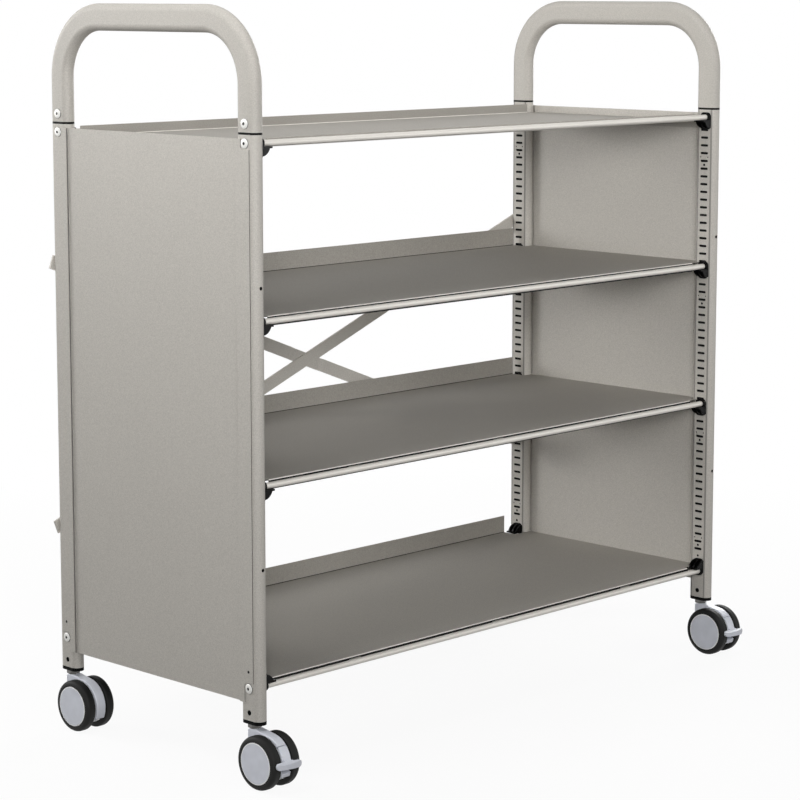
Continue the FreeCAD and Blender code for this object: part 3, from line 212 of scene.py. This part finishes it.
def squares(tree, first, second):
    """Sum of two squares, for masks that are round."""
    first = combine(tree, "MULTIPLY", first, first)
    second = combine(tree, "MULTIPLY", second, second)
    return combine(tree, "ADD", first, second)


POST_X = middle("right_front_post").x
FRONT_Y, REAR_Y = middle("right_front_post").y, middle("right_rear_post").y
JOINT_Z = (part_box("right_front_post")[1].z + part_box("right_handle")[0].z) / 2


def inside_post_shade(tree):
    """Mask of the posts' bores: inside the flat oval, just under the tube's outer face, painted near
    black as shade.
    """
    flat_half, skin_radius = 0.009, 0.0098
    x, y, _ = split_place(tree, "Object")
    across = off_nearer(tree, x, -POST_X, POST_X)
    along = combine(tree, "SUBTRACT", off_nearer(tree, y, FRONT_Y, REAR_Y), flat_half)
    along = combine(tree, "MAXIMUM", along, 0)
    return combine(tree, "LESS_THAN", squares(tree, across, along), skin_radius ** 2)


def rolled_corner_reflections(tree):
    """Mask of the two thin lines on a post's inner side where the tube rolls from flat to round,
    darkened as a painted reflection of the shaded inside of the trolley.
    """
    near, far, inner_side = 0.0112, 0.0138, 0.004
    x, y, _ = split_place(tree, "Object")
    inward = combine(tree, "LESS_THAN", off(tree, x, 0), POST_X - inner_side)
    along = off_nearer(tree, y, FRONT_Y, REAR_Y)
    band = combine(tree, "LESS_THAN", off(tree, along, (near + far) / 2), (far - near) / 2)
    return combine(tree, "MULTIPLY", inward, band)


def joint_gap_shadow(tree):
    """Mask of the tube ends either side of the joiner's flange, painted near black as the shadow of the
    gap at the joint.
    """
    reach = 0.0016
    _, _, z = split_place(tree, "Object")
    return combine(tree, "LESS_THAN", off(tree, z, JOINT_Z), reach)


# Near black painted shade, for the posts' bores, the gaps at the joiners and the panels' pilot holes.
SHADE = linear(3, 3, 3)
# Posts: the rolled corners are darkened as a painted reflection, and the bores and the tube ends at the
# joint are painted near black as shade.
post_marks = [(rolled_corner_reflections, linear(140, 137, 132)), (inside_post_shade, SHADE), (joint_gap_shadow, SHADE)]
silver_post = powder_coated("silver_post_paint", linear(190, 186, 179), marks=post_marks)
for side in ("left", "right"):
    for end in ("front", "rear"):
        finish_node(f"{side}_{end}_post", silver_post)


# Handles: two push bars of the same flat-oval steel tube, each drawn round two bends.
# They stand on the joiners in the post tops, are screwed there, and are painted with the posts.
# The handle's tube end at the joiner is painted near black as the shadow of the gap.
silver_tube = powder_coated("silver_tube_paint", linear(182, 178, 171), marks=[(joint_gap_shadow, SHADE)])
for side in ("left", "right"):
    finish_node(f"{side}_handle", silver_tube)


# Joiners and post plugs: black nylon mouldings, pushed into the ends of the tubes.
# A joiner's flange is the dark line under each handle, and a plug holds a castor's stem.
def grain_group():
    """Moulded plastic: fine spark-eroded grain, faint flow clouds."""
    group, take, give = surface_group("moulded_grain", [
        ("Color", "NodeSocketColor", (0.5, 0.5, 0.5, 1)),
        ("Roughness", "NodeSocketFloat", 0.4),
        ("Scale", "NodeSocketFloat", 1500.0)])
    place = group.nodes.new("ShaderNodeTexCoord").outputs["Object"]
    grain = noise(group, place, scale=take["Scale"], detail=1.0)
    clouds = noise(group, place, scale=60, detail=3.0)
    shade = ranged(group, clouds, 0.2, 0.8, 0.94, 1.06)
    rough = ranged(group, clouds, 0.2, 0.8, -0.06, 0.06)
    feed(group, mixed(group, take["Color"], shade, blend="MULTIPLY"), give["Color"])
    feed(group, combine(group, "ADD", take["Roughness"], rough), give["Roughness"])
    feed(group, grain, give["Height"])
    return group


MOULDED_GRAIN = grain_group()


def moulded(name, color, roughness, scale=1500.0, relief=0.00004, gloss=0.5, marks=()):
    """Plastic or rubber for a piece."""
    values = {"Color": color, "Roughness": roughness, "Scale": scale}
    return surfaced(name, MOULDED_GRAIN, values, marks, gloss, relief, strength=0.4)[0]


black_nylon = moulded("black_nylon", linear(4, 4, 4), 0.5, gloss=0.06)
finish_node("handle_joiners", black_nylon)
finish_node("post_plugs", black_nylon)


# End panels: one sheet of painted steel a side, joggled along both edges.
# The edges lie on the posts' outer flats, and the field sits in between the posts.
def cut_edge_shade(tree):
    """Mask of the sheet's cut edges and steps, which face along the trolley's depth, darkened as painted
    shade of the narrow gaps at the laps.
    """
    _, y, _ = split_place(tree, "Normal")
    return ranged(tree, off(tree, y, 0), 0.6, 0.95, 0, 0.85)


def pilot_hole_shade(tree):
    """Mask of the small hole in each side edge of a panel, above the bottom screw, painted near black as
    the shade in the hole.
    """
    hole_z, hole_radius = 0.157, 0.0021
    _, y, z = split_place(tree, "Object")
    along = off_nearer(tree, y, FRONT_Y, REAR_Y)
    return combine(tree, "LESS_THAN", squares(tree, along, off(tree, z, hole_z)), hole_radius ** 2)


# The panel's cut edges are darkened and its pilot holes dotted near black, both painted shade.
silver_sheet = powder_coated("silver_sheet_paint", linear(187, 183, 176),
                             marks=[(cut_edge_shade, linear(60, 58, 56)), (pilot_hole_shade, SHADE)])
for side in ("left", "right"):
    finish_node(f"{side}_end_panel", silver_sheet)


# Screws: steel button heads with a hex socket, plated bright, in three rows of four.
# They go in through the posts' outer flats. The four on the brace are black capped.
def bright_metal(name, color, roughness, metallic=1.0):
    """Plated or turned metal with scuffs that dull it here and there."""
    material, shader = new_material(name)
    tree = material.node_tree
    scuffs = noise(tree, tree.nodes.new("ShaderNodeTexCoord").outputs["Object"], scale=900, detail=3.0)
    dulled = ranged(tree, scuffs, 0.3, 0.7, roughness - 0.06, roughness + 0.08)
    feed(tree, dulled, shader.inputs["Roughness"])
    shader.inputs["Base Color"].default_value = color
    shader.inputs["Metallic"].default_value = metallic
    return material


HEAD_PROFILE = [(0.0070, 0.0), (0.0070, 0.0005), (0.0068, 0.0008), (0.0063, 0.0012), (0.0056, 0.0015),
                (0.0046, 0.0018), (0.0036, 0.00195), (0.0026, 0.0020)]
# The outer rings of each head's rim take the dark material, painted shade at the head's edge.
RIM_RINGS = 2
SEAT_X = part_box("right_front_post")[1].x
SHANK_RADIUS, TIP_RADIUS, TIP_BEVEL = 0.0030, 0.0024, 0.0006
SOCKET_REACH, SOCKET_FLOOR = 0.0020, 0.0006
TURN_STEPS = 48
HANDLE_SHANK, SHELF_SHANK = 0.014, 0.0228
plated = bright_metal("bright_plating", linear(228, 227, 223), 0.45, metallic=0.3)
# Dark material for the head's rim and the socket's walls and floor, painted shade.
screw_shade = bright_metal("screw_rim_and_socket_shade", linear(48, 47, 46), 0.6, metallic=0.3)
scene = bpy.context.scene


def button_screws(name, node, shank):
    """Four domed screws in one mesh, turned about X, with hex sockets and plain shanks."""
    points, faces, dark = [], [], []
    height = middle(node).z
    round_ring = [1.0] * TURN_STEPS
    hex_ring = []
    for step in range(TURN_STEPS):
        turn = (2 * math.pi * step / TURN_STEPS) % (math.pi / 3) - math.pi / 6
        hex_ring.append(1 / math.cos(turn))

    def ring(side, y, radius, out, shape=round_ring):
        first = len(points)
        for step, reach in enumerate(shape):
            angle = 2 * math.pi * step / TURN_STEPS
            points.append((side * (SEAT_X + out), y + radius * reach * math.cos(angle),
                           height + radius * reach * math.sin(angle)))
        return first

    def join(first, second, side, shaded=False):
        for step in range(TURN_STEPS):
            after = (step + 1) % TURN_STEPS
            face = (first + step, first + after, second + after, second + step)
            if shaded:
                dark.append(len(faces))
            faces.append(face if side > 0 else face[::-1])

    def cap(first, outward):
        loop = list(range(first, first + TURN_STEPS))
        faces.append(loop if outward else loop[::-1])

    for side in (-1, 1):
        for y in (FRONT_Y, REAR_Y):
            tip = ring(side, y, TIP_RADIUS, -shank)
            thread = ring(side, y, SHANK_RADIUS, -shank + TIP_BEVEL)
            seat = ring(side, y, SHANK_RADIUS, 0)
            join(tip, thread, side)
            join(thread, seat, side)
            join(seat, ring(side, y, HEAD_PROFILE[0][0], 0), side)
            head = [ring(side, y, radius, out) for radius, out in HEAD_PROFILE]
            for step, (last, here) in enumerate(zip(head, head[1:])):
                join(last, here, side, shaded=step < RIM_RINGS)
            crown = HEAD_PROFILE[-1][1]
            join(head[-1], ring(side, y, SOCKET_REACH, crown, hex_ring), side)
            socket_floor = ring(side, y, SOCKET_REACH, SOCKET_FLOOR, hex_ring)
            join(ring(side, y, SOCKET_REACH, crown, hex_ring), socket_floor, side, shaded=True)
            dark.append(len(faces))
            cap(socket_floor, side > 0)
            cap(tip, side < 0)
    mesh = bpy.data.meshes.new(name)
    mesh.from_pydata(points, [], faces)
    mesh.materials.append(plated)
    mesh.materials.append(screw_shade)
    for polygon in mesh.polygons:
        polygon.use_smooth = True
    for index in dark:
        mesh.polygons[index].material_index = 1
    mesh.update()
    piece = bpy.data.objects.new(name, mesh)
    scene.collection.objects.link(piece)
    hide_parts(node)
    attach(piece, "frame")


button_screws("handle_button_screws", "handle_screws", HANDLE_SHANK)
button_screws("top_button_screws", "top_shelf_screws", SHELF_SHANK)
button_screws("bottom_button_screws", "bottom_shelf_screws", SHELF_SHANK)
finish_node("brace_screws", moulded("black_cap", linear(24, 23, 23), 0.4))


# Shelves: four decks of folded steel sheet, painted as the panels are, here in a darker colour as
# painted shade.
# Each deck sits on two round steel bars, one along the front and one along the back.
def fold_highlights(tree):
    """Mask of the bends between the flats, painted light as a highlight along each fold."""
    x, y, z = split_place(tree, "Normal")
    sideways = combine(tree, "MAXIMUM", off(tree, x, 0), off(tree, y, 0))
    return ranged(tree, combine(tree, "MULTIPLY", sideways, off(tree, z, 0)), 0.06, 0.25, 0, 1)


def behind(tree, line_y):
    """Mask of everything further back than a line along the trolley."""
    _, y, _ = split_place(tree, "Object")
    return combine(tree, "GREATER_THAN", y, line_y)


def upstand_crease_shade(tree):
    """Mask of the bend at the foot of the upstand, painted dark as the shade in the crease."""
    upstand_y = 0.19
    return combine(tree, "MULTIPLY", fold_highlights(tree), behind(tree, upstand_y))


def shaded_fold(tree):
    """Mask of the front fold's face, painted dark as the shade in the narrow gap behind the bar."""
    front_fold_y, facing_front = -0.165, -0.88
    _, y, _ = split_place(tree, "Normal")
    facing = combine(tree, "LESS_THAN", y, facing_front)
    in_front = combine(tree, "SUBTRACT", 1, behind(tree, front_fold_y))
    return combine(tree, "MULTIPLY", facing, in_front)


# The decks take the panels' paint made darker, as painted shade.
SHADED_DECK_COLOR, DECK_ROUGHNESS, DECK_GLOSS = linear(167, 163, 156), 0.66, 0.18
# The folds are painted light as highlights, and the upstand's foot and the front fold's face are painted
# dark as shade.
tray_marks = [(fold_highlights, linear(248, 244, 237))]
deck_marks = tray_marks + [(upstand_crease_shade, linear(16, 16, 15)), (shaded_fold, linear(30, 29, 28))]
silver_tray = powder_coated("silver_tray_paint", SHADED_DECK_COLOR, roughness=DECK_ROUGHNESS, gloss=DECK_GLOSS,
                            marks=tray_marks)
silver_deck = powder_coated("silver_deck_paint", SHADED_DECK_COLOR, roughness=DECK_ROUGHNESS, gloss=DECK_GLOSS,
                            marks=deck_marks)
silver_bar = powder_coated("silver_bar_paint", linear(222, 218, 211), grain=0.06, roughness=0.46,
                           metallic=0.2)
for shelf in ("top", "upper", "lower", "bottom"):
    finish_node(f"{shelf}_shelf_deck", silver_tray if shelf == "top" else silver_deck)
    finish_node(f"{shelf}_shelf_bars", silver_bar)


# Shelf brackets: black nylon mouldings that take the ends of the bars, four to a shelf.
# They hook into the posts' slots, or are held by the screws through the posts.
bracket_nylon = moulded("bracket_nylon", linear(5, 5, 5), 0.3, gloss=0.1)
for shelf in ("top", "upper", "lower", "bottom"):
    finish_node(f"{shelf}_shelf_brackets", bracket_nylon)


# Cross brace: two flat steel bars that cross behind the shelves and keep the frame square.
# They are punched at the ends, painted, and screwed to the rear posts.
silver_strip = powder_coated("silver_strip_paint", linear(207, 203, 196))
for bar in ("rising", "falling"):
    finish_node(f"{bar}_brace_bar", silver_strip)


# Castors: grey nylon hoods, wheel discs and brake levers, and dark rubber tyres.
# Turned steel stems hold them in the post plugs, and each steel axle carries two wheels.
FRONT_AXLE, REAR_AXLE = middle("front_left_axle"), middle("rear_left_axle")


def disc_rim_highlight(tree):
    """Mask of the ring round the edge of a wheel disc, about the nearer axle, painted white as a
    highlight on the edge.
    """
    ring_radius = 0.0275
    _, y, z = split_place(tree, "Object")
    along = off_nearer(tree, y, FRONT_AXLE.y, REAR_AXLE.y)
    down = off(tree, z, FRONT_AXLE.z)
    return combine(tree, "GREATER_THAN", squares(tree, along, down), ring_radius ** 2)


CASTOR_COLOR, CASTOR_ROUGHNESS, CASTOR_SCALE, CASTOR_RELIEF = linear(224, 227, 236), 0.34, 900.0, 0.00002
castor_grey = moulded("castor_grey", CASTOR_COLOR, CASTOR_ROUGHNESS, CASTOR_SCALE, CASTOR_RELIEF)
# The wheel discs carry a white ring at the edge, a painted highlight.
disc_grey = moulded("disc_grey", CASTOR_COLOR, CASTOR_ROUGHNESS, CASTOR_SCALE, CASTOR_RELIEF,
                    marks=[(disc_rim_highlight, linear(254, 254, 255))])
castor_rubber = moulded("castor_rubber", linear(15, 15, 14), 0.62, scale=1100.0, gloss=0.22)
castor_steel = bright_metal("turned_steel", linear(104, 103, 101), 0.34)
finish_node("castor_stems", castor_steel)
for end in ("front", "rear"):
    for side in ("left", "right"):
        castor = f"{end}_{side}"
        finish_node(f"{castor}_hood", castor_grey)
        finish_node(f"{castor}_axle", castor_steel)
        for wheel in ("left", "right"):
            finish_node(f"{castor}_{wheel}_hub", disc_grey)
            finish_node(f"{castor}_{wheel}_tyre", castor_rubber)
        if end == "front":
            finish_node(f"{castor}_brake_lever", castor_grey)


# Studio: a wide pale floor that shows white and keeps the trolley's shadow.
# Soft round lamps hang above it and stand around it, at a plain level.
def seen_rays(tree):
    """Mask that is 1 where the camera sees the studio, straight, in a gloss or through glass."""
    rays = tree.nodes.new("ShaderNodeLightPath").outputs
    seen = combine(tree, "MAXIMUM", rays["Is Camera Ray"], rays["Is Glossy Ray"])
    return combine(tree, "MAXIMUM", seen, rays["Is Transmission Ray"])


def floor_material():
    """Floor that glows white where it is seen, less so under the trolley, and bounces little light."""
    near, far, glow_near, glow_far = 0.6, 1.8, 0.93, 1.0
    material, shader = new_material("studio_floor")
    tree = material.node_tree
    shader.inputs["Roughness"].default_value = 0.9
    shader.inputs["Specular IOR Level"].default_value = 0.0
    seen = seen_rays(tree)
    bounced, shown = (0.15, 0.15, 0.15, 1), (0.95, 0.95, 0.95, 1)
    feed(tree, mixed(tree, bounced, shown, factor=seen), shader.inputs["Base Color"])
    glow = tree.nodes.new("ShaderNodeEmission")
    glow.inputs["Strength"].default_value = 1.0
    reach = tree.nodes.new("ShaderNodeVectorMath")
    reach.operation = "LENGTH"
    feed(tree, tree.nodes.new("ShaderNodeTexCoord").outputs["Object"], reach.inputs[0])
    white = ranged(tree, reach.outputs["Value"], near, far, glow_near, glow_far)
    blend = tree.nodes.new("ShaderNodeMixShader")
    feed(tree, combine(tree, "MULTIPLY", seen, white), blend.inputs["Fac"])
    feed(tree, shader.outputs["BSDF"], blend.inputs[1])
    feed(tree, glow.outputs["Emission"], blend.inputs[2])
    feed(tree, blend.outputs["Shader"], tree.nodes["Material Output"].inputs["Surface"])
    return material


FLOOR_REACH = 40.0
floor_mesh = bpy.data.meshes.new("floor")
floor_corners = [(x * FLOOR_REACH, y * FLOOR_REACH, 0) for x, y in ((-1, -1), (1, -1), (1, 1), (-1, 1))]
floor_mesh.from_pydata(floor_corners, [], [(0, 1, 2, 3)])
floor_mesh.materials.append(floor_material())
floor = bpy.data.objects.new("floor", floor_mesh)
scene.collection.objects.link(floor)

FILL_LIGHT, WHITE_LIGHT = 0.03, 1.0
scene.world = bpy.data.worlds.new("studio")
scene.world.use_nodes = True
sky = scene.world.node_tree
background = sky.nodes["Background"]
background.inputs["Color"].default_value = (1, 1, 1, 1)
feed(sky, ranged(sky, seen_rays(sky), 0, 1, FILL_LIGHT, WHITE_LIGHT), background.inputs["Strength"])


def lamp(name, place, target, size, power, spread=180):
    """Round softbox of a size in metres and a power in watts, its beam narrowed to degrees."""
    light = bpy.data.lights.new(name, "AREA")
    light.shape = "DISK"
    light.size = size
    light.energy = power
    light.spread = math.radians(spread)
    item = bpy.data.objects.new(name, light)
    item.location = place
    item.rotation_euler = (Vector(target) - Vector(place)).to_track_quat("-Z", "Y").to_euler()
    scene.collection.objects.link(item)


lamp("overhead_softbox", (0, 0, 3.2), (0, 0, 0.5), size=2.0, power=21.5)
lamp("corner_softbox", (-2.7, -2.7, 1.3), (0, 0, 0.92), size=1.2, power=13.6, spread=80)
lamp("rear_left_softbox", (-1.4, 2.6, 1.3), (0, 0, 0.6), size=1.2, power=41)
lamp("left_softbox", (-1.25, 0, 1.65), (-0.5, 0, 0.7), size=0.7, power=6.5)
lamp("inner_softbox", (-0.9, -1.9, 1.5), (0.5, 0, 1.0), size=0.8, power=3.1, spread=80)
lamp("front_right_softbox", (2.2, -2.6, 1.0), (0.2, 0, 0.8), size=1.6, power=4.8, spread=80)
lamp("right_softbox", (2.8, 0.7, 1.2), (0.5, 0, 0.6), size=1.2, power=8.5, spread=80)


# Camera: a long lens that looks from the front left corner along the diagonal.
# It stands a little above the handles, so that the decks are seen from above.
camera = bpy.data.cameras.new("camera")
camera.sensor_width = 36.0
camera.lens = 113.4
camera.shift_y = -0.08
camera.clip_end = 100
eye = bpy.data.objects.new("camera", camera)
eye.location = (-2.7356, -2.6404, 1.072)
azimuth, pitch = math.radians(-45.6655), math.radians(-7.8135)
level = math.cos(pitch)
look = Vector((-math.sin(azimuth) * level, math.cos(azimuth) * level, math.sin(pitch)))
eye.rotation_euler = look.to_track_quat("-Z", "Y").to_euler()
scene.collection.objects.link(eye)
scene.camera = eye
scene.view_settings.view_transform = "Standard"
